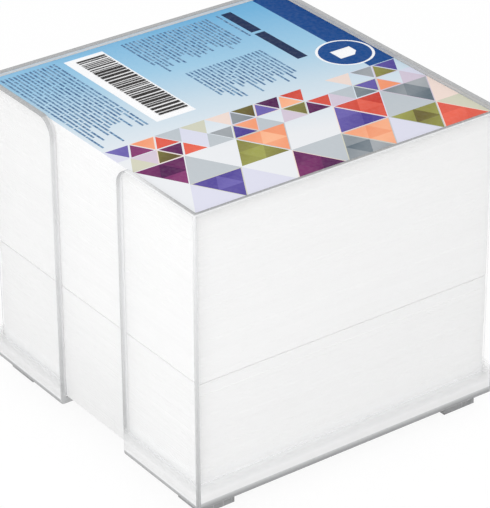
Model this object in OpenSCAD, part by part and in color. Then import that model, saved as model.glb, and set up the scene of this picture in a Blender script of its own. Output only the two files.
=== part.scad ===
// Memo cube: two packs of loose note sheets in a clear moulded holder with a
// finger slot down its front wall, under one printed cover card.
// The slot faces -Y, +Z is up, and the origin is at the bottom centre, under the feet.

/* [Paper] */
// Side of one square note sheet
sheet_side = 90; // [80:1:100]
// Height of the lower pack of sheets
lower_pack_h = 33; // [15:1:45]
// Height of the upper pack of sheets
upper_pack_h = 46; // [15:1:60]

/* [Holder] */
// Gap between the sheets and each wall
sheet_gap = 0.4; // [0.2:0.1:1.2]
// Thickness of the four walls
wall_t = 1.6; // [1.2:0.1:2.5]
// Thickness of the floor
floor_t = 2; // [1.4:0.1:3]
// How far the rim stands above the cover card
rim_lip = 0.8; // [0.5:0.1:5]
// Radius of the upright outer edges
upright_r = 1; // [0.4:0.1:1.5]
// Radius of the outer edge round the floor
floor_edge_r = 0.8; // [0.3:0.1:1.2]

/* [Finger slot] */
// Width of the slot in the front wall
slot_w = 29; // [20:1:40]
// Radius where the rim turns down into the slot
slot_lip_r = 5; // [2:0.5:8]
// Depth of the notch in the floor, from the front face
notch_depth = 12; // [6:1:20]
// Radius of the notch's two inner corners
notch_r = 5; // [2:0.5:9]

/* [Feet] */
// Side of one square foot
foot_side = 10.5; // [7:0.5:14]
// Height of the feet below the floor
foot_h = 4; // [2:0.5:6]
// Distance from a foot to the holder's outer faces
foot_inset = 3; // [1.5:0.5:5]
// Radius of a foot's edges
foot_r = 0.8; // [0.3:0.1:1.5]

/* [Cover card] */
// Thickness of the cover card
card_t = 0.3; // [0.2:0.05:1]
// Thickness of the printed ink
ink_t = 0.1; // [0.05:0.05:0.2]

/* [Print] */
// Distance from the card's left edge to the title and the white panel
left_margin = 2.5; // [1:0.5:6]
// Width of the dark header band along the card's back edge
header_w = 8; // [5:0.5:11]
// Radius of the round seal on the header band
seal_r = 7; // [5:0.5:8]
// Width of the white ring round the seal
seal_ring = 0.8; // [0.4:0.1:1.5]
// Height of the white page in the seal
page_h = 6.4; // [4:0.1:7]
// Width of the white page in the seal
page_w = 5; // [3:0.1:6]
// Size of the page's cut corner
page_fold = 1.9; // [0.8:0.1:2.5]
// Distance from the seal to the pattern
seal_gap = 2.5; // [1:0.5:5]
// Height of the two title bars
title_h = 3.2; // [1.5:0.1:4]
// Length of the first title bar
title_first = 14; // [8:1:18]
// Length of the second title bar
title_second = 19; // [10:1:20]
// Space between the title bars and the things beside them
title_gap = 1.2; // [0.6:0.1:3]
// Width of the white panel
panel_w = 12; // [8:0.5:16]
// Distance from the card's front edge to the white panel
panel_from_front = 20; // [12:1:26]
// Distance from the white panel to the pattern
panel_gap = 6; // [2:0.5:10]
// Side of one large printed triangle
triangle_side = 15; // [11:1:16]
// Pale line between neighbouring triangles
triangle_gap = 0.5; // [0.2:0.1:1.2]

/* [Hidden] */
$fn = 48;
// How far a cutting shape runs past the face it cuts
PAST = 1;
inner_side = sheet_side + 2 * sheet_gap;
outer_side = inner_side + 2 * wall_t;
// A round inner corner of this size still clears the sheets' square corners
inner_r = sheet_gap;
floor_top = foot_h + floor_t;
upper_pack_z = floor_top + lower_pack_h;
card_z = upper_pack_z + upper_pack_h;
ink_z = card_z + card_t;
rim_z = ink_z + ink_t + rim_lip;

sheet_edge = sheet_side / 2;
column_w = triangle_side * sqrt(3) / 2;
LARGE_COLUMNS = 2;
SMALL_COLUMNS = 2;
pattern_w = column_w * (LARGE_COLUMNS + SMALL_COLUMNS / 2);
header_l = sheet_side - pattern_w;
header_y = sheet_edge - header_w;
seal_x = sheet_edge - pattern_w - seal_gap - seal_ring - seal_r;
title_y = header_y - seal_r - seal_ring - title_gap - title_h;
panel_l = header_l - left_margin - panel_gap;

VERMILION = 0;
ORANGE = 1;
PLUM = 2;
VIOLET = 3;
OLIVE = 4;
SLATE = 5;
INK_COUNT = 6;
BARE = -1;

// Outlines shared by the pieces

module rounded_square(side, r) {
    square([side - 2 * r, side], center = true);
    square([side, side - 2 * r], center = true);
    for (x = [-1, 1], y = [-1, 1])
        translate([x * (side / 2 - r), y * (side / 2 - r)]) circle(r);
}

// Side view of a block that stands on its base line, with the two lower corners round
module round_footed_outline(side, height, r) {
    translate([-side / 2, r]) square([side, height - r]);
    translate([-side / 2 + r, 0]) square([side - 2 * r, height]);
    for (x = [-1, 1])
        translate([x * (side / 2 - r), r]) circle(r);
}

// A square block with round upright edges and a round edge along its bottom
module moulded_block(side, height, upright_edge_r, bottom_edge_r) {
    intersection() {
        linear_extrude(height) rounded_square(side, upright_edge_r);
        rotate([90, 0, 0]) linear_extrude(side + PAST, center = true)
            round_footed_outline(side, height, bottom_edge_r);
        rotate([90, 0, 90]) linear_extrude(side + PAST, center = true)
            round_footed_outline(side, height, bottom_edge_r);
    }
}

// Holder

// One foot, which runs up into the floor and so is one piece with it
module foot() {
    moulded_block(foot_side, foot_h + floor_t / 2, foot_r, foot_r);
}

module feet() {
    place = outer_side / 2 - foot_inset - foot_side / 2;
    for (x = [-1, 1], y = [-1, 1])
        translate([x * place, y * place, 0]) foot();
}

// The slot as seen from the front: straight sides that flare out to the rim
module slot_outline() {
    height = rim_z - foot_h;
    translate([-slot_w / 2, -PAST]) square([slot_w, height + 2 * PAST]);
    difference() {
        translate([-slot_w / 2 - slot_lip_r, height - slot_lip_r])
            square([slot_w + 2 * slot_lip_r, slot_lip_r + PAST]);
        for (x = [-1, 1])
            translate([x * (slot_w / 2 + slot_lip_r), height - slot_lip_r]) circle(slot_lip_r);
    }
}

module finger_slot() {
    translate([0, -inner_side / 2 + sheet_gap / 2, foot_h]) rotate([90, 0, 0])
        linear_extrude(wall_t + sheet_gap + PAST) slot_outline();
}

module floor_notch() {
    straight = notch_depth - notch_r;
    translate([0, -outer_side / 2, foot_h - PAST]) linear_extrude(floor_t + 2 * PAST) {
        translate([-slot_w / 2, -PAST]) square([slot_w, straight + PAST]);
        translate([-slot_w / 2 + notch_r, 0]) square([slot_w - 2 * notch_r, notch_depth]);
        for (x = [-1, 1])
            translate([x * (slot_w / 2 - notch_r), straight]) circle(notch_r);
    }
}

module holder() color([0.86, 0.88, 0.89, 0.45]) {
    difference() {
        union() {
            translate([0, 0, foot_h])
                moulded_block(outer_side, rim_z - foot_h, upright_r, floor_edge_r);
            feet();
        }
        translate([0, 0, floor_top])
            linear_extrude(rim_z - floor_top + PAST) rounded_square(inner_side, inner_r);
        finger_slot();
        floor_notch();
    }
}

// Paper and card

module sheet_block(z, height) {
    translate([-sheet_edge, -sheet_edge, z]) cube([sheet_side, sheet_side, height]);
}

module paper_lower() color([0.96, 0.96, 0.95]) {
    sheet_block(floor_top, lower_pack_h);
}

module paper_upper() color([0.98, 0.98, 0.97]) {
    sheet_block(upper_pack_z, upper_pack_h);
}

module cover_card() color([0.95, 0.96, 0.97]) {
    sheet_block(card_z, card_t);
}

// Print on the card: every colour is one flat field of ink, and no two fields overlap

module ink_field() {
    translate([0, 0, ink_z]) linear_extrude(ink_t) children();
}

// Ink of the triangle at this place in the pattern, or BARE
function ink_at(column, step) =
    let (draw = (7 * step + 5 * column + step * column) % 11)
    draw < INK_COUNT ? draw : BARE;

// One triangle: pointing left or right by turns up a column, clear of its neighbours
module triangle_cell(side, right_x, column, step, steps) {
    width = side * sqrt(3) / 2;
    points_right = (column + step) % 2 == 0;
    middle_x = right_x - (points_right ? 2 : 1) * width / 3;
    translate([middle_x, (step - (steps + 1) / 2) * side / 2])
        rotate(points_right ? 0 : 180) circle(side / sqrt(3) - triangle_gap, $fn = 3);
}

// The triangles of one size and one ink, in columns that run from front to back
module triangle_columns(ink, side, right_x, first, count) {
    width = side * sqrt(3) / 2;
    steps = floor(2 * sheet_side / side) - 1;
    for (column = [first : first + count - 1], step = [1 : steps])
        if (ink_at(column, step) == ink)
            triangle_cell(side, right_x - (column - first) * width, column, step, steps);
}

module triangles(ink) {
    triangle_columns(ink, triangle_side, sheet_edge, 0, LARGE_COLUMNS);
    triangle_columns(ink, triangle_side / 2, sheet_edge - LARGE_COLUMNS * column_w,
        LARGE_COLUMNS, SMALL_COLUMNS);
}

module header_outline() {
    difference() {
        translate([-sheet_edge, header_y]) square([header_l, header_w]);
        translate([seal_x, header_y]) circle(seal_r + seal_ring);
    }
}

// A page with one corner cut off, left white in the middle of the seal
module page_outline() {
    x = page_w / 2;
    y = page_h / 2;
    polygon([[-x, -y], [x, -y], [x, y - page_fold], [x - page_fold, y], [-x, y]]);
}

module seal_outline() {
    translate([seal_x, header_y]) difference() {
        circle(seal_r);
        page_outline();
    }
}

module title_outline() {
    start = -sheet_edge + left_margin;
    translate([start, title_y]) square([title_first, title_h]);
    translate([start + title_first + title_gap, title_y]) square([title_second, title_h]);
}

module panel_outline() {
    translate([-sheet_edge + left_margin, -sheet_edge + panel_from_front])
        square([panel_l, panel_w]);
}

module print_sky() color([0.67, 0.83, 0.93]) ink_field() {
    difference() {
        square(sheet_side, center = true);
        header_outline();
        translate([seal_x, header_y]) circle(seal_r + seal_ring);
        title_outline();
        panel_outline();
        for (ink = [0 : INK_COUNT - 1]) triangles(ink);
    }
}

module print_navy() color([0.11, 0.31, 0.58]) ink_field() {
    header_outline();
    seal_outline();
    title_outline();
}

module print_vermilion() color([0.86, 0.33, 0.26]) ink_field() triangles(VERMILION);

module print_orange() color([0.95, 0.60, 0.42]) ink_field() triangles(ORANGE);

module print_plum() color([0.50, 0.20, 0.40]) ink_field() triangles(PLUM);

module print_violet() color([0.37, 0.31, 0.62]) ink_field() triangles(VIOLET);

module print_olive() color([0.55, 0.56, 0.28]) ink_field() triangles(OLIVE);

module print_slate() color([0.50, 0.54, 0.57]) ink_field() triangles(SLATE);

holder();
paper_lower();
paper_upper();
cover_card();
print_sky();
print_navy();
print_vermilion();
print_orange();
print_plum();
print_violet();
print_olive();
print_slate();
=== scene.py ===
"""Looks of the memo cube: loose sheets in a clear moulded holder, under a printed cover card.

Everything is in metres in the part's own frame: the finger slot faces -Y and +Z is up.
"""

import math

import bmesh
import bpy
from mathutils import Matrix, Vector


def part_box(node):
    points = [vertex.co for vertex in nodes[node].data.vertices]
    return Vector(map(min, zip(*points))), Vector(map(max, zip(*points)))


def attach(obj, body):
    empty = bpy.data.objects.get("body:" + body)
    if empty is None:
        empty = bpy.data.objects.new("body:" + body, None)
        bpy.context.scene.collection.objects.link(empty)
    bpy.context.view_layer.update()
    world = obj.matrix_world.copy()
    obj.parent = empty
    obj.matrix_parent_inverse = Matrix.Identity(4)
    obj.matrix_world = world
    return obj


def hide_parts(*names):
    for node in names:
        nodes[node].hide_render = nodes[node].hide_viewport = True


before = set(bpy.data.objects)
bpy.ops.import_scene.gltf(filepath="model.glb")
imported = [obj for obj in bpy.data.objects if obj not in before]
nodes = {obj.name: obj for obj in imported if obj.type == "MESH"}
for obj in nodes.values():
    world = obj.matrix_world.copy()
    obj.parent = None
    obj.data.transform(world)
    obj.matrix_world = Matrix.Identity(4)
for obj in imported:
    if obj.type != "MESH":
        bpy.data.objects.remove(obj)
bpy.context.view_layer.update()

MM = 0.001
WHITE = (1.0, 1.0, 1.0, 1.0)

# Where things are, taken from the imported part
holder_low, holder_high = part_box("holder")
lower_low, lower_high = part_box("paper_lower")
upper_low, upper_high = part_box("paper_upper")
card_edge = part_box("cover_card")[1].x
ink_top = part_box("print_sky")[1].z
floor_top = lower_low.z
foot_h = 4 * MM

# Sheets: the paper fills most of the pitch, and the sheets beside the seam are cut smaller
SHEET_PITCH = 0.09875 * MM
SHEET_FILL = 0.96
SHEET_DRIFT = 0.03 * MM
BUNDLE_DRIFT = 0.06 * MM
SHEETS_IN_BUNDLE = 23
SEAM_SHEETS = 3
SEAM_TRIM = 0.3 * MM
# Painted shade: how far above and below the seam the darker band painted on the sheets reaches
SEAM_SHADE = 0.3 * MM
# Painted light: between these heights above the floor, the whitening painted on the sheets fades
# out
PAINTED_LIGHT_FOOT_LOW = 1.5 * MM
PAINTED_LIGHT_FOOT_HIGH = 8 * MM
# Painted shade: how high above the floor the paper in the slot is painted darker
SLOT_SHADE_H = 30 * MM

# Holder: its sizes as moulded
WALL_T = 1.6 * MM
UPRIGHT_R = 1 * MM
SLOT_HALF = 14.5 * MM
SLOT_LIP_R = 5 * MM
EDGE_BREAK = 0.22 * MM

# Holder: how its mesh is mended, and how its faces are told apart by their normals
SAME_POINT = 0.002 * MM
FLAT_ANGLE = math.radians(0.5)
SHARP_ANGLE = math.radians(75)
SQUARE_ON = 0.995
SIDE_ON = 0.9
TILTED = 0.05
BROAD, RIM, UPRIGHT, CUT, UNDER = range(5)

# Holder: its plastic, and how far above the floor the walls carry a white band of painted light
PLASTIC_IOR = 1.55
MIRROR_SHARE = 0.4
PAINTED_LIGHT_WHITE = (0.99, 0.99, 0.99, 1.0)
PAINTED_LIGHT_THROUGH = 0.3
PAINTED_LIGHT_FULL_TO = 2.2 * MM
CLEAR_FROM = 7 * MM
SKIN = 0.1 * MM
# Width of the pale painted highlight lines along the rims' outer edges
RIM_PAINTED_HIGHLIGHT_W = 1.3 * MM

# Print that lies on the card's ink
PRINT_GAP = 0.004 * MM
PRINT_FILM = 0.016 * MM
TRIANGLE_SIDE = 15 * MM
FACET_SIDE = TRIANGLE_SIDE / 2
COLUMN_W = TRIANGLE_SIDE * math.sqrt(3) / 2


# Shader maths

class Value:
    """One shader socket. Sums written with it become Math nodes."""

    def __init__(self, finish, socket):
        self.finish = finish
        self.socket = socket

    def math(self, operation, *terms, clamp=False):
        settings = {"operation": operation, "use_clamp": clamp}
        return self.finish.node("ShaderNodeMath", settings, dict(enumerate(terms)))

    def __add__(self, other):
        return self.math("ADD", self, other)

    def __sub__(self, other):
        return self.math("SUBTRACT", self, other)

    def __rsub__(self, other):
        return self.math("SUBTRACT", other, self)

    def __mul__(self, other):
        return self.math("MULTIPLY", self, other)

    def __truediv__(self, other):
        return self.math("DIVIDE", self, other)

    __radd__ = __add__
    __rmul__ = __mul__

    def floor(self):
        return self.math("FLOOR", self)

    def size(self):
        return self.math("ABSOLUTE", self)

    def sine(self):
        return self.math("SINE", self)

    def above(self, limit):
        return self.math("GREATER_THAN", self, limit)

    def below(self, limit):
        return self.math("LESS_THAN", self, limit)

    def either(self, other):
        return self.math("MAXIMUM", self, other)

    def between(self, low, high):
        """0 at low and under, 1 at high and over, and a straight slope from one to the other."""
        return self.math("DIVIDE", self - low, high - low, clamp=True)


def socket_named(sockets, name):
    """The socket with this number, or the one in use with this name."""
    if isinstance(name, int):
        return sockets[name]
    return next(socket for socket in sockets if socket.enabled and socket.name == name)


class Tree:
    """A node tree, and the one method that adds every node to it."""

    def node(self, kind, settings=None, sockets=None, output=None):
        made = self.tree.nodes.new(kind)
        for name, setting in (settings or {}).items():
            if name == "stops":
                self.set_stops(made.color_ramp, setting)
            elif name == "interpolation" and kind == "ShaderNodeValToRGB":
                made.color_ramp.interpolation = setting
            else:
                setattr(made, name, setting)
        for name, content in (sockets or {}).items():
            socket = socket_named(made.inputs, name)
            if isinstance(content, Value):
                self.tree.links.new(content.socket, socket)
            elif isinstance(content, str):
                self.tree.links.new(socket_named(self.given.outputs, content), socket)
            else:
                socket.default_value = content
        if not made.outputs:
            return made
        if output is None:
            return Value(self, next(socket for socket in made.outputs if socket.enabled))
        return Value(self, socket_named(made.outputs, output))

    @staticmethod
    def set_stops(ramp, stops):
        while len(ramp.elements) < len(stops):
            ramp.elements.new(1.0)
        for element, (position, colour) in zip(ramp.elements, stops):
            element.position = position
            element.color = (*colour, 1.0)


class Finish(Tree):
    """A material."""

    def __init__(self, name):
        self.material = bpy.data.materials.new(name)
        self.material.use_nodes = True
        self.tree = self.material.node_tree
        self.tree.nodes.clear()

    def place(self):
        """Object coordinates, which are the part's own frame."""
        return self.node("ShaderNodeTexCoord", output="Object")

    def axis(self, name):
        return self.node("ShaderNodeSeparateXYZ", {}, {"Vector": self.place()}, output=name)

    def facing(self, name):
        """How far the surface faces along one axis, from -1 to 1."""
        normal = self.node("ShaderNodeTexCoord", output="Normal")
        return self.node("ShaderNodeSeparateXYZ", {}, {"Vector": normal}, output=name)

    def inside(self):
        """1 where the surface is seen from within, and 0 from outside."""
        return self.node("ShaderNodeNewGeometry", output="Backfacing")

    def stretched(self, scale):
        return self.node(
            "ShaderNodeVectorMath", {"operation": "MULTIPLY"}, {0: self.place(), 1: scale})

    def noise(self, scale, detail=2.0, stretch=None):
        """Noise with features about 1 / scale metres across."""
        where = self.stretched(stretch) if stretch else self.place()
        return self.node(
            "ShaderNodeTexNoise", {}, {"Vector": where, "Scale": scale, "Detail": detail}, "Fac")

    def mix(self, mask, first, second):
        """The colour first where mask is 0, and second where it is 1."""
        sockets = {0: mask, 6: self.colour(first), 7: self.colour(second)}
        return self.node("ShaderNodeMix", {"data_type": "RGBA"}, sockets, 2)

    def ramp(self, mask, *stops, steps=False):
        """Colours at places along mask: blended, or in steps."""
        settings = {"stops": stops, "interpolation": "CONSTANT" if steps else "LINEAR"}
        return self.node("ShaderNodeValToRGB", settings, {"Fac": mask}, "Color")

    def triangle_cell(self, side, seed):
        """A number of its own, from 0 to 1, for each cell of the card's grid of triangles."""
        inward = (card_edge - self.axis("X")) / (side * math.sqrt(3) / 2)
        along = self.axis("Y") / side
        lean = inward * 0.5
        cell = self.node("ShaderNodeCombineXYZ", {}, {
            "X": inward.floor() + seed, "Y": (along + lean).floor(), "Z": (along - lean).floor()})
        return self.node(
            "ShaderNodeTexWhiteNoise", {"noise_dimensions": "3D"}, {"Vector": cell}, "Value")

    def bump(self, height, distance, strength=1.0):
        sockets = {"Height": height, "Distance": distance, "Strength": strength}
        return self.node("ShaderNodeBump", {}, sockets)

    @staticmethod
    def colour(content):
        return content if isinstance(content, Value) else (*content, 1.0)

    def principled(self, **sockets):
        named = {name.replace("_", " "): content for name, content in sockets.items()}
        named["Base Color"] = self.colour(named["Base Color"])
        return self.node("ShaderNodeBsdfPrincipled", {}, named)

    def clear(self):
        """A surface that lets light straight through."""
        return self.node("ShaderNodeBsdfTransparent", {}, {"Color": WHITE})

    def blend(self, mask, first, second):
        """The surface first where mask is 0, and second where it is 1."""
        return self.node("ShaderNodeMixShader", {}, {0: mask, 1: first, 2: second})

    def output(self, surface):
        self.node("ShaderNodeOutputMaterial", {}, {"Surface": surface})
        return self.material


def srgb(red, green, blue):
    """A colour as a picture editor shows it, from 0 to 255, as the linear colour of a shader."""
    def linear(level):
        level /= 255
        return level / 12.92 if level <= 0.04045 else ((level + 0.055) / 1.055) ** 2.4
    return tuple(linear(level) for level in (red, green, blue))


def grey(level):
    """A grey with a trace of blue, as the plastic has."""
    return srgb(level, level + 1, level + 2)


def darker(colour, share):
    return tuple(share * level for level in colour)


# Finishes of the plastic

def painted_shade_and_light_by_floor(finish):
    """1 on the walls' outer faces beside the floor, fading to 0 a few mm above it: where painted
    shade and painted light cover the clear plastic.
    """
    on_side = finish.axis("X").size().above(holder_high.x - SKIN)
    on_end = finish.axis("Y").size().above(holder_high.y - SKIN)
    clear = finish.axis("Z").between(floor_top + PAINTED_LIGHT_FULL_TO, floor_top + CLEAR_FROM)
    return (on_side + on_end) * (1 - clear)


def floor_painted_shade(finish):
    """Painted shade for the floor's thickness as the walls show it, darker through the side
    walls.
    """
    height = finish.axis("Z")
    on_side = finish.axis("X").size().above(holder_high.x - SKIN)
    side_rise = height.between(foot_h + 0.6 * MM, floor_top)
    end_rise = height.between(foot_h + 1.2 * MM, foot_h + 1.7 * MM)
    side_painted_shade = finish.mix(side_rise, grey(134), grey(198))
    end_painted_shade = finish.mix(end_rise, grey(172), grey(240))
    return finish.mix(on_side, end_painted_shade, side_painted_shade)


def far_lip(finish):
    """Where the far walls' faces stand above the card, and the grey painted shade they take
    there.
    """
    at_back = finish.axis("Y").above(holder_high.y - WALL_T - SKIN)
    at_left = finish.axis("X").below(holder_low.x + WALL_T + SKIN)
    above_card = finish.axis("Z").between(ink_top - 0.5 * MM, ink_top - 0.3 * MM)
    return above_card * at_back.either(at_left), finish.mix(at_back, grey(212), grey(184))


def broad_plastic():
    """Clear polystyrene: it mirrors a little. Beside the floor and above the card it is covered
    with painted shade and painted light, which stand in for light bent and carried through the
    clear plastic.
    """
    finish = Finish("clear_plastic")
    handled = finish.noise(60, 4.0).between(0.45, 0.75)
    outside = 1 - finish.inside()
    shine = finish.node("ShaderNodeBsdfGlossy", {}, {
        "Color": WHITE,
        "Roughness": 0.02 + handled * 0.05,
        "Normal": finish.bump(finish.noise(45, 1.0), 0.02 * MM, 0.5)})
    mirrored = finish.node("ShaderNodeFresnel", {}, {"IOR": PLASTIC_IOR}) * outside * MIRROR_SHARE
    film = finish.blend(mirrored, finish.clear(), shine)

    above_card, lip_painted_shade = far_lip(finish)
    # Painted shade on the outer faces, and faces seen from within painted nearly white, a painted
    # reflection of the paper
    outer_painted_shade = finish.mix(above_card, floor_painted_shade(finish), lip_painted_shade)
    painted_shade_and_reflection = finish.principled(
        Base_Color=finish.mix(outside, grey(253), outer_painted_shade),
        Roughness=0.12 + handled * 0.1)
    # Painted light: a white band, partly lit through, that stands in for light carried through
    # the clear floor
    painted_light_band = finish.blend(
        PAINTED_LIGHT_THROUGH,
        finish.node("ShaderNodeBsdfDiffuse", {}, {"Color": PAINTED_LIGHT_WHITE}),
        finish.node("ShaderNodeBsdfTranslucent", {}, {"Color": PAINTED_LIGHT_WHITE}))
    # Below the floor's top the cover takes the painted shade of the floor, and above it the
    # painted light
    over_floor = finish.axis("Z").between(floor_top, floor_top + 0.3 * MM) * (1 - above_card)
    cloud = finish.blend(over_floor, painted_shade_and_reflection, painted_light_band)
    return finish.output(finish.blend(painted_shade_and_light_by_floor(finish) + above_card * 0.9, film, cloud))


def edge_plastic(name, tone_of, cover=0.9):
    """The same plastic where it is seen edge on, in painted grey shade that stands in for light
    bent through its edges.
    """
    finish = Finish(name)
    streak = finish.noise(900, 2.0, (1.0, 1.0, 0.05)).between(0.3, 0.7)
    tone, shown = tone_of(finish)
    body = finish.principled(
        Base_Color=finish.mix(streak * 0.06, tone, grey(248)),
        Roughness=0.2 + streak * 0.1,
        IOR=PLASTIC_IOR)
    return finish.output(finish.blend(shown * cover, finish.clear(), body))


def rim_painted_shade_and_highlight(finish):
    """Rims: painted shade, darkest on the right, and pale painted highlights beside the slot and
    along the outer edges.
    """
    across, deep = finish.axis("X"), finish.axis("Y")
    tone = finish.mix(across.between(-card_edge, card_edge), grey(158), grey(140))
    at_back = deep.between(card_edge, card_edge + WALL_T / 2)
    tone = finish.mix(at_back, tone, grey(166))
    at_front = 1 - deep.between(-card_edge - WALL_T / 2, -card_edge)
    # Painted highlights: pale lines beside the slot and along the front and right outer edges
    beside_slot = across.above(0.0) * (1 - across.between(20 * MM, 38 * MM))
    tone = finish.mix(at_front, tone, finish.mix(beside_slot, grey(160), grey(228)))
    front_edge = 1 - deep.between(-card_edge - WALL_T, -card_edge - RIM_PAINTED_HIGHLIGHT_W)
    tone = finish.mix(front_edge * across.above(0.0), tone, grey(230))
    right_edge = across.between(card_edge + RIM_PAINTED_HIGHLIGHT_W, card_edge + WALL_T)
    return finish.mix(right_edge, tone, grey(222)), 1.0


def upright_painted_shade(finish):
    """The four upright corners in painted shade: a thin pale line at the top, broader and greyer
    lower down.
    """
    climb = finish.axis("Z").between(10 * MM, holder_high.z)
    corner = (finish.facing("X") * finish.facing("Y")).size() * 2
    narrowing = climb * 0.55
    shown = corner.between(narrowing, narrowing + 0.35)
    return finish.mix(climb, grey(182), grey(224)), shown


def cut_painted_shade_and_light(finish):
    """The cut faces of the slot and of the notch in painted shade: greyer low down and at the
    flare, with pale painted light on the inner side just above the floor.
    """
    height = finish.axis("Z")
    wave = finish.noise(70, 1.0, (0.1, 0.1, 1.0)).between(0.35, 0.65)
    tone = finish.mix(height.between(foot_h, holder_high.z * 0.6), grey(184), grey(208))
    tone = finish.mix(wave * 0.3, tone, grey(222))
    flare = height.between(holder_high.z - 7 * MM, holder_high.z - 1 * MM)
    tone = finish.mix(flare, tone, grey(176))
    # Painted light: paler on the inner side just above the floor
    inward = finish.axis("Y").between(holder_low.y + 0.9 * MM, holder_low.y + WALL_T)
    above_floor = height.between(floor_top, floor_top + 1 * MM)
    return finish.mix(inward * above_floor * 0.8, tone, grey(244)), 1.0


def under_painted_shade_and_reflection(finish):
    """The feet and the edge round the floor's underside, in painted shade. From within they are
    painted nearly white, a painted reflection of the paper.
    """
    drop = finish.axis("Z").between(1.0 * MM, foot_h + 0.6 * MM)
    cloud = finish.noise(240, 2.0).between(0.35, 0.65)
    tone = finish.mix(drop, grey(132), grey(146))
    tone = finish.mix(cloud * 0.35, tone, grey(166))
    # Painted reflection: seen from within, the faces are painted nearly white
    return finish.mix(finish.inside(), tone, grey(246)), 1.0


# Finishes of the paper and of the print

def sheet_edges(name, tone, first_z):
    """Cut edges of white sheets: each has its own tone. Painted shade darkens the packs' seam and
    the paper low in the slot, and painted light whitens the sheets just above the floor.
    """
    finish = Finish(name)
    height = finish.axis("Z")
    number = ((height - first_z) / SHEET_PITCH).floor()
    one_sheet = finish.node(
        "ShaderNodeTexWhiteNoise", {"noise_dimensions": "1D"}, {"W": number}, "Value")
    bundle = finish.noise(260, 3.0, (0.05, 0.05, 1.0)).between(0.4, 0.7)
    shade = finish.mix(one_sheet * 0.5, tone, darker(tone, 0.975))
    shade = finish.mix(bundle * 0.5, shade, darker(tone, 0.98))
    # Painted shade: a darker band on the sheets at the seam between the packs
    seam = 1 - (height - upper_low.z).size().between(SEAM_SHADE / 3, SEAM_SHADE)
    shade = finish.mix(seam * 0.06, shade, grey(196))
    in_slot = finish.axis("X").size().below(SLOT_HALF) * finish.axis("Y").below(upper_low.y / 2)
    # Painted light: outside the slot, the sheets just above the floor are painted nearly white
    painted_light_near_floor = 1 - height.between(floor_top + PAINTED_LIGHT_FOOT_LOW, floor_top + PAINTED_LIGHT_FOOT_HIGH)
    shade = finish.mix(painted_light_near_floor * (1 - in_slot), shade, grey(253))
    # Painted shade: in the slot the paper is painted darker low down, fading out higher up
    slot_painted_shade = in_slot * (1 - height.between(floor_top, floor_top + SLOT_SHADE_H))
    shade = finish.mix(slot_painted_shade, shade, srgb(241, 241, 241))
    fibre = finish.noise(5200, 2.0)
    return finish.output(finish.principled(
        Base_Color=shade,
        Roughness=0.86 + fibre * 0.1,
        Normal=finish.bump(fibre, 0.006 * MM, 0.6)))


def coated_face(finish, colour, **sockets):
    """The card's smooth coating, which shows a little of the fibres under it."""
    fibre = finish.noise(2600, 3.0)
    return finish.output(finish.principled(
        Base_Color=colour,
        Roughness=0.42 + fibre * 0.12,
        Normal=finish.bump(fibre, 0.004 * MM, 0.5),
        **sockets))


def coated_card():
    finish = Finish("coated_card")
    cloud = finish.noise(90, 2.0).between(0.4, 0.65)
    return coated_face(finish, finish.mix(cloud, srgb(250, 250, 251), srgb(244, 245, 247)))


def ink(name, colour_of):
    """Ink on coated card: colour_of(finish) gives its colour, which then gets a fine mottle."""
    finish = Finish(name)
    mottle = finish.noise(900, 3.0).between(0.35, 0.7)
    colour = finish.mix(mottle * 0.025, colour_of(finish), (1.0, 1.0, 1.0))
    return coated_face(finish, colour, Specular_IOR_Level=0.03)


def sky_colour(finish):
    """Sky blue at the left, fading to a pale grey at the right, with pale triangles over it."""
    across, deep = finish.axis("X"), finish.axis("Y")
    fade = (across * 0.8 - deep * 0.2).between(-40 * MM, 36 * MM)
    sky = finish.ramp(
        fade, (0.0, srgb(110, 176, 218)), (0.3, srgb(158, 201, 227)),
        (0.52, srgb(200, 218, 230)), (0.8, srgb(231, 233, 236)))
    in_large = across.above(card_edge - 2 * COLUMN_W)
    in_pattern = across.above(card_edge - 3 * COLUMN_W)
    large = finish.triangle_cell(TRIANGLE_SIDE, seed=3)
    small = finish.triangle_cell(FACET_SIDE, seed=5)
    pick = small + (large - small) * in_large
    ghost = finish.ramp(
        pick, (0.0, srgb(206, 188, 206)), (0.16, srgb(240, 214, 200)),
        (0.30, srgb(202, 200, 172)), (0.42, srgb(176, 184, 190)), (0.52, srgb(214, 214, 232)),
        steps=True)
    return finish.mix(in_pattern * pick.below(0.66) * 0.8, sky, ghost)


def navy_colour(finish):
    """Navy, and nearly black blue towards the back, where two broad bars lie."""
    at_bars = finish.axis("Y").between(28.4 * MM, 28.8 * MM)
    cloud = finish.noise(40, 1.0).between(0.35, 0.65)
    band = finish.mix(cloud * 0.25, srgb(0, 66, 134), srgb(20, 88, 156))
    return finish.mix(at_bars, srgb(20, 42, 80), band)


def faceted_ink(dark, light):
    """Ink whose large triangles fall into four facets, each with its own tone."""
    def colour_of(finish):
        facet = finish.triangle_cell(FACET_SIDE, seed=11)
        ripple = ((finish.axis("Y") * 0.7 + finish.axis("X")) * 420).sine() * 0.12
        tone = (facet * 0.88 + ripple + 0.12).between(0.0, 1.0)
        return finish.mix(tone, srgb(*dark), srgb(*light))
    return colour_of


def bar_colour(finish):
    """Dark blue, broken up along the bars' length."""
    breaks = finish.noise(1700, 2.0, (1.0, 0.5, 1.0)).between(0.4, 0.6)
    return finish.mix(breaks * 0.8, srgb(60, 98, 140), srgb(146, 182, 210))


def stripe_colour(finish):
    wear = finish.noise(1200, 2.0).between(0.4, 0.6)
    return finish.mix(wear * 0.5, srgb(34, 32, 32), srgb(66, 62, 62))


def paint_node(name, material):
    """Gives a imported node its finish. Its mesh and its place stay as packed."""
    slots = nodes[name].data.materials
    slots.clear()
    slots.append(material)


# Pieces

def placed(name, data):
    """A new object in the scene, at the origin."""
    made = bpy.data.objects.new(name, data)
    bpy.context.scene.collection.objects.link(made)
    return made


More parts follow.
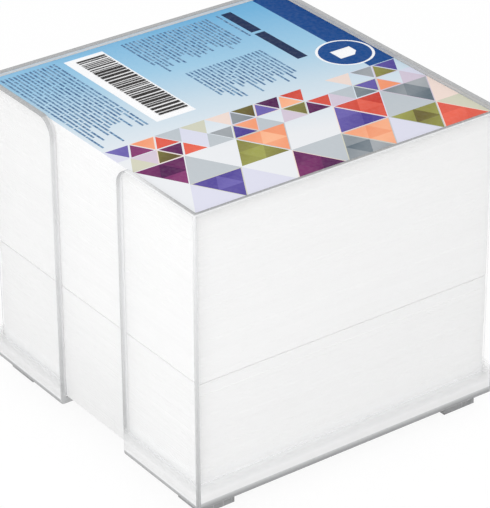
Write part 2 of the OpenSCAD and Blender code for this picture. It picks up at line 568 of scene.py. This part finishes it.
def new_piece(name, mesh, slot, *replaced):
    piece = placed(name, mesh)
    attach(piece, "root")
    if replaced:
        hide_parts(*replaced)
    return piece


def plastic_of(face):
    """Which of the holder's finishes this face takes."""
    centre, normal = face.calc_center_median(), face.normal
    if centre.z < foot_h - EDGE_BREAK / 10:
        return UNDER
    if centre.z > holder_high.z - EDGE_BREAK:
        return RIM
    in_front_wall = centre.y < holder_low.y + WALL_T
    near_slot = abs(centre.x) < SLOT_HALF + SLOT_LIP_R
    if in_front_wall and near_slot and abs(normal.y) < SIDE_ON:
        return CUT
    if max(abs(normal.x), abs(normal.y), abs(normal.z)) > SQUARE_ON:
        return BROAD
    if abs(normal.z) > TILTED:
        return UNDER if centre.z < floor_top else CUT
    at_corner = min(abs(centre.x), abs(centre.y)) > holder_high.x - 1.5 * UPRIGHT_R
    return UPRIGHT if at_corner else CUT


def holder_piece(plastics):
    """The holder as packed, with its sharp edges broken as a mould leaves them."""
    mesh = nodes["holder"].data.copy()
    mesh.name = "clear_holder"
    shape = bmesh.new()
    shape.from_mesh(mesh)
    bmesh.ops.remove_doubles(shape, verts=shape.verts, dist=SAME_POINT)
    bmesh.ops.dissolve_limit(
        shape, angle_limit=FLAT_ANGLE, verts=shape.verts, edges=shape.edges)
    sharp = [edge for edge in shape.edges if edge.calc_face_angle_signed() > SHARP_ANGLE]
    bmesh.ops.bevel(
        shape, geom=sharp, offset=EDGE_BREAK, offset_type="OFFSET", segments=2, profile=0.5,
        affect="EDGES", clamp_overlap=True)
    for face in shape.faces:
        face.material_index = plastic_of(face)
    mesh.materials.clear()
    for plastic in plastics:
        mesh.materials.append(plastic)
    shape.to_mesh(mesh)
    shape.free()
    return new_piece("clear_holder", mesh, "clear_plastic", "holder")


class Growth(Tree):
    """A geometry node tree with named inputs, and the mesh that it grows."""

    def __init__(self, name, inputs):
        self.tree = bpy.data.node_groups.new(name, "GeometryNodeTree")
        interface = self.tree.interface
        interface.new_socket("Geometry", in_out="OUTPUT", socket_type="NodeSocketGeometry")
        self.identifiers = {}
        kinds = {float: "NodeSocketFloat", int: "NodeSocketInt"}
        for input_name, number in inputs.items():
            socket = interface.new_socket(
                input_name, in_out="INPUT", socket_type=kinds[type(number)])
            self.identifiers[input_name] = socket.identifier
        self.inputs = inputs
        self.given = self.tree.nodes.new("NodeGroupInput")

    def input(self, name):
        return Value(self, socket_named(self.given.outputs, name))

    def index(self):
        return self.node("GeometryNodeInputIndex")

    def spot(self, x=0.0, y=0.0, z=0.0):
        return self.node("ShaderNodeCombineXYZ", {}, {"X": x, "Y": y, "Z": z})

    def random(self, low, high, number, shift=0):
        """A number between low and high, its own for each number and shift."""
        sockets = {"Min": low, "Max": high, "ID": number, "Seed": self.input("Seed") + shift}
        return self.node("FunctionNodeRandomValue", {"data_type": "FLOAT"}, sockets)

    def running_sum(self, value, group):
        """What lies before each point in its group."""
        return self.node(
            "GeometryNodeAccumulateField", {"data_type": "FLOAT"},
            {"Value": value, "Group ID": group}, "Trailing")

    def mesh(self, name, instances, material):
        """Runs the tree on an empty mesh and returns the plain mesh that comes out."""
        whole = self.node("GeometryNodeRealizeInstances", {}, {"Geometry": instances})
        coated = self.node(
            "GeometryNodeSetMaterial", {}, {"Geometry": whole, "Material": material})
        self.node("NodeGroupOutput", {}, {"Geometry": coated})
        carrier = placed(name, bpy.data.meshes.new(name))
        modifier = carrier.modifiers.new(name, "NODES")
        modifier.node_group = self.tree
        for input_name, number in self.inputs.items():
            modifier[self.identifiers[input_name]] = number
        evaluated = carrier.evaluated_get(bpy.context.evaluated_depsgraph_get())
        grown = bpy.data.meshes.new_from_object(evaluated)
        grown.name = name
        bpy.data.objects.remove(carrier)
        return grown


def sheet_pack(name, low, high, seam_at_top, material, seed):
    """Sheets laid one on the other, each a little off its neighbour, bundle by bundle.

    The sheets next to the seam between the packs stand back a little.
    """
    count = round((high.z - low.z) / SHEET_PITCH)
    pitch = (high.z - low.z) / count
    side = high.x - low.x
    pack = Growth(name, {
        "Sheet Count": count,
        "Sheet Pitch": pitch,
        "Sheet Side": side,
        "Sheet Thickness": pitch * SHEET_FILL,
        "Lowest Sheet": low.z + pitch / 2,
        "Sheet Drift": SHEET_DRIFT,
        "Bundle Drift": BUNDLE_DRIFT,
        "Sheets In Bundle": SHEETS_IN_BUNDLE,
        "First Seam Sheet": count - SEAM_SHEETS if seam_at_top else 0,
        "Seam Sheets": SEAM_SHEETS if seam_at_top else 1,
        "Seam Scale": 1 - 2 * SEAM_TRIM / side,
        "Seed": seed,
    })
    line = pack.node("GeometryNodeMeshLine", {}, {
        "Count": "Sheet Count",
        "Start Location": pack.spot(z="Lowest Sheet"),
        "Offset": pack.spot(z="Sheet Pitch")})
    number = pack.index()
    bundle = (number / pack.input("Sheets In Bundle")).floor()
    drift, bundle_drift = pack.input("Sheet Drift"), pack.input("Bundle Drift")
    across, deep = (
        pack.random(-1.0, 1.0, number, shift) * drift
        + pack.random(-1.0, 1.0, bundle, shift + 2) * bundle_drift for shift in (0, 1))
    spread = pack.node(
        "GeometryNodeSetPosition", {}, {"Geometry": line, "Offset": pack.spot(across, deep)})
    into_seam = number - pack.input("First Seam Sheet")
    in_seam = into_seam.above(-0.5) * into_seam.below(pack.input("Seam Sheets") - 0.5)
    scale = 1 - in_seam * (1 - pack.input("Seam Scale"))
    sheet = pack.node("GeometryNodeMeshCube", {}, {
        "Size": pack.spot("Sheet Side", "Sheet Side", "Sheet Thickness")})
    laid = pack.node("GeometryNodeInstanceOnPoints", {}, {
        "Points": spread, "Instance": sheet, "Scale": pack.spot(scale, scale, 1.0)})
    return pack.mesh(name, laid, material)


def printed_rows(name, area, row_pitch, bar_h, lengths, usual_gap, ragged, material, seed):
    """Rows of bars of random length along X, one row behind the other, flat on the ink.

    The area is its left, right, front and back edge in mm from the cube's middle. A row may
    end up to ragged short of the right edge.
    """
    left, right, front, back = (edge * MM for edge in area)
    shortest, longest = lengths
    rows = int((back - front) / row_pitch)
    per_row = int((right - left) / (shortest + usual_gap)) + 1
    print_rows = Growth(name, {
        "Bars": rows * per_row,
        "Bars Per Row": per_row,
        "Left": left,
        "Right": right,
        "Back": back,
        "Row Pitch": row_pitch,
        "Bar Height": bar_h,
        "Shortest": shortest,
        "Longest": longest,
        "Gap": usual_gap,
        "Ragged": ragged,
        "Level": ink_top + PRINT_GAP + PRINT_FILM / 2,
        "Film": PRINT_FILM,
        "Seed": seed,
    })
    points = print_rows.node(
        "GeometryNodeMeshLine", {}, {"Count": "Bars", "Offset": (0.0, 0.0, 0.0)})
    number = print_rows.index()
    row = ((number + 0.5) / print_rows.input("Bars Per Row")).floor()
    length = print_rows.random("Shortest", "Longest", number)
    gap = print_rows.input("Gap") * print_rows.random(0.6, 1.4, number, 2)
    start = print_rows.input("Left") + print_rows.running_sum(length + gap, row)
    limit = print_rows.input("Right") - print_rows.random(0.0, "Ragged", row, 1)
    kept = (start + length).below(limit)
    y = print_rows.input("Back") - (row + 0.5) * print_rows.input("Row Pitch")
    spread = print_rows.node("GeometryNodeSetPosition", {}, {
        "Geometry": points, "Position": print_rows.spot(start + length / 2, y, "Level")})
    bar = print_rows.node("GeometryNodeMeshCube", {}, {"Size": (1.0, 1.0, 1.0)})
    laid = print_rows.node("GeometryNodeInstanceOnPoints", {}, {
        "Points": spread, "Selection": kept, "Instance": bar,
        "Scale": print_rows.spot(length, "Bar Height", "Film")})
    return print_rows.mesh(name, laid, material)


# Camera, light and floor. Angles are in degrees, and the focal length is in the photo's pixels

CAMERA_AZIMUTH = 54.05
CAMERA_ELEVATION = 29.098
CAMERA_ROLL = -0.295
CAMERA_DISTANCE = 730.45 * MM
CAMERA_RIGHT = 1.339 * MM
CAMERA_DOWN = 4.488 * MM
AIM = Vector((0, 0, 45 * MM))
FOCAL_PIXELS = 2833.9
PHOTO_LONG_SIDE = 508
SENSOR = 36
WORLD_LEVEL = 0.87
FLOOR_GREY = (0.73, 0.73, 0.73, 1.0)
FLOOR_SHADOW = 0.08
FLOOR_REACH = 4.0


def direction(azimuth, elevation):
    """The way out from the cube at these angles: azimuth 0 is -Y, and 90 is +X."""
    turn, lift = math.radians(azimuth), math.radians(elevation)
    return Vector((
        math.sin(turn) * math.cos(lift), -math.cos(turn) * math.cos(lift), math.sin(lift)))


def photo_camera():
    """The camera where the photograph was taken from."""
    turn, roll = math.radians(CAMERA_AZIMUTH), math.radians(CAMERA_ROLL)
    back = direction(CAMERA_AZIMUTH, CAMERA_ELEVATION)
    level = Vector((math.cos(turn), math.sin(turn), 0))
    rise = back.cross(level)
    right = level * math.cos(roll) + rise * math.sin(roll)
    up = rise * math.cos(roll) - level * math.sin(roll)
    data = bpy.data.cameras.new("photo_camera")
    data.sensor_width = SENSOR
    data.lens = FOCAL_PIXELS / PHOTO_LONG_SIDE * SENSOR
    data.clip_start = 0.01
    data.clip_end = 50
    camera = placed("photo_camera", data)
    stand = AIM + back * CAMERA_DISTANCE + right * CAMERA_RIGHT - up * CAMERA_DOWN
    axes = Matrix((right, up, back)).transposed().to_4x4()
    camera.matrix_world = Matrix.Translation(stand) @ axes
    bpy.context.scene.camera = camera


def soft_lamp(name, azimuth, elevation, distance, size, watts):
    """A large square lamp that looks at the cube's middle."""
    data = bpy.data.lights.new(name, "AREA")
    data.shape = "SQUARE"
    data.size = size
    data.energy = watts
    lamp = placed(name, data)
    away = direction(azimuth, elevation)
    aimed = away.to_track_quat("Z", "Y").to_matrix().to_4x4()
    lamp.matrix_world = Matrix.Translation(away * distance + AIM) @ aimed


class WorldFinish(Finish):
    """The world's background."""

    def __init__(self, name):
        world = bpy.data.worlds.new(name)
        world.use_nodes = True
        self.tree = world.node_tree
        self.tree.nodes.clear()
        bpy.context.scene.world = world


def seen_directly(finish):
    """1 for rays that show the background itself, and 0 for those that light the cube."""
    kinds = ("Is Camera Ray", "Is Glossy Ray", "Is Transmission Ray")
    camera, glossy, transmitted = (
        finish.node("ShaderNodeLightPath", output=kind) for kind in kinds)
    return camera.either(glossy).either(transmitted)


def white_room():
    finish = WorldFinish("white_room")
    seen = finish.node("ShaderNodeBackground", {}, {"Color": WHITE, "Strength": 1.0})
    lit = finish.node("ShaderNodeBackground", {}, {"Color": WHITE, "Strength": WORLD_LEVEL})
    finish.node("ShaderNodeOutputWorld", {}, {
        "Surface": finish.blend(seen_directly(finish), lit, seen)})


def white_floor():
    """A plain floor that shows white, and keeps a faint shadow of the cube."""
    finish = Finish("white_floor")
    matt = finish.node("ShaderNodeBsdfDiffuse", {}, {"Color": FLOOR_GREY})
    white = finish.node("ShaderNodeBsdfDiffuse", {}, {"Color": WHITE})
    glow = finish.node("ShaderNodeEmission", {}, {"Color": WHITE, "Strength": 1.0})
    shown = finish.blend(1 - FLOOR_SHADOW, white, glow)
    whole = finish.blend(seen_directly(finish), matt, shown)
    mesh = bpy.data.meshes.new("floor")
    reach = FLOOR_REACH
    outline = [(-reach, -reach, 0), (reach, -reach, 0), (reach, reach, 0), (-reach, reach, 0)]
    mesh.from_pydata(outline, [], [(0, 1, 2, 3)])
    mesh.materials.append(finish.output(whole))
    placed("floor", mesh)


photo_camera()
white_room()
white_floor()
soft_lamp("key_lamp", azimuth=32, elevation=32, distance=0.5, size=0.35, watts=0.78)
soft_lamp("side_lamp", azimuth=100, elevation=25, distance=1.8, size=1.4, watts=2.3)
bpy.context.scene.view_settings.view_transform = "Standard"

# Holder
holder_piece([
    broad_plastic(),
    edge_plastic("plastic_rims", rim_painted_shade_and_highlight),
    edge_plastic("plastic_corners", upright_painted_shade, cover=0.85),
    edge_plastic("plastic_cuts", cut_painted_shade_and_light),
    edge_plastic("plastic_underside", under_painted_shade_and_reflection),
])

# Sheets
for name, low, high, tone, seed in (
        ("lower", lower_low, lower_high, srgb(247, 247, 247), 29),
        ("upper", upper_low, upper_high, srgb(248, 248, 248), 8)):
    edges = sheet_edges("sheets_" + name, tone, low.z)
    mesh = sheet_pack("sheet_pack_" + name, low, high, name == "lower", edges, seed)
    new_piece("sheet_pack_" + name, mesh, "sheets_" + name, "paper_" + name)

# Card and its ink, with the dark and the light tone of each ink that has facets
FACETED_INKS = {
    "vermilion": ((196, 62, 50), (232, 104, 84)),
    "orange": ((236, 140, 100), (248, 184, 146)),
    "plum": ((74, 24, 76), (136, 56, 112)),
    "violet": ((70, 56, 140), (118, 108, 182)),
    "olive": ((84, 66, 36), (158, 160, 84)),
    "slate": ((96, 110, 120), (172, 176, 180)),
}
paint_node("cover_card", coated_card())
paint_node("print_sky", ink("ink_sky", sky_colour))
paint_node("print_navy", ink("ink_navy", navy_colour))
for name, (dark, light) in FACETED_INKS.items():
    paint_node("print_" + name, ink("ink_" + name, faceted_ink(dark, light)))

# Rows of blue bars: the block's area and how ragged its right side is, in mm, and its seed
BAR_BLOCKS = {
    "print_left_column": ((-42.5, -21, -8, 20.5), 5, 21),
    "print_right_column": ((-18.5, 3.5, -4, 20.5), 6, 22),
    "print_front_lines": ((-43, 5.5, -44.2, -27), 10, 23),
    "print_under_title": ((-42.5, -26, 22, 24), 1, 24),
}
bar_ink = ink("ink_bars", bar_colour)
for name, (area, ragged, seed) in BAR_BLOCKS.items():
    mesh = printed_rows(
        name, area, row_pitch=1.22 * MM, bar_h=0.6 * MM, lengths=(1.6 * MM, 8 * MM),
        usual_gap=0.4 * MM, ragged=ragged * MM, material=bar_ink, seed=seed)
    new_piece(name, mesh, "ink_navy")

# One row of black stripes, side by side on the white panel
PANEL = (-40.5, -1.5, -22.3, -13.6)
mesh = printed_rows(
    "print_stripes", PANEL, row_pitch=8.7 * MM, bar_h=8.6 * MM, lengths=(0.2 * MM, 1.3 * MM),
    usual_gap=0.6 * MM, ragged=0.5 * MM, material=ink("ink_stripes", stripe_colour), seed=31)
new_piece("print_stripes", mesh, "ink_navy")
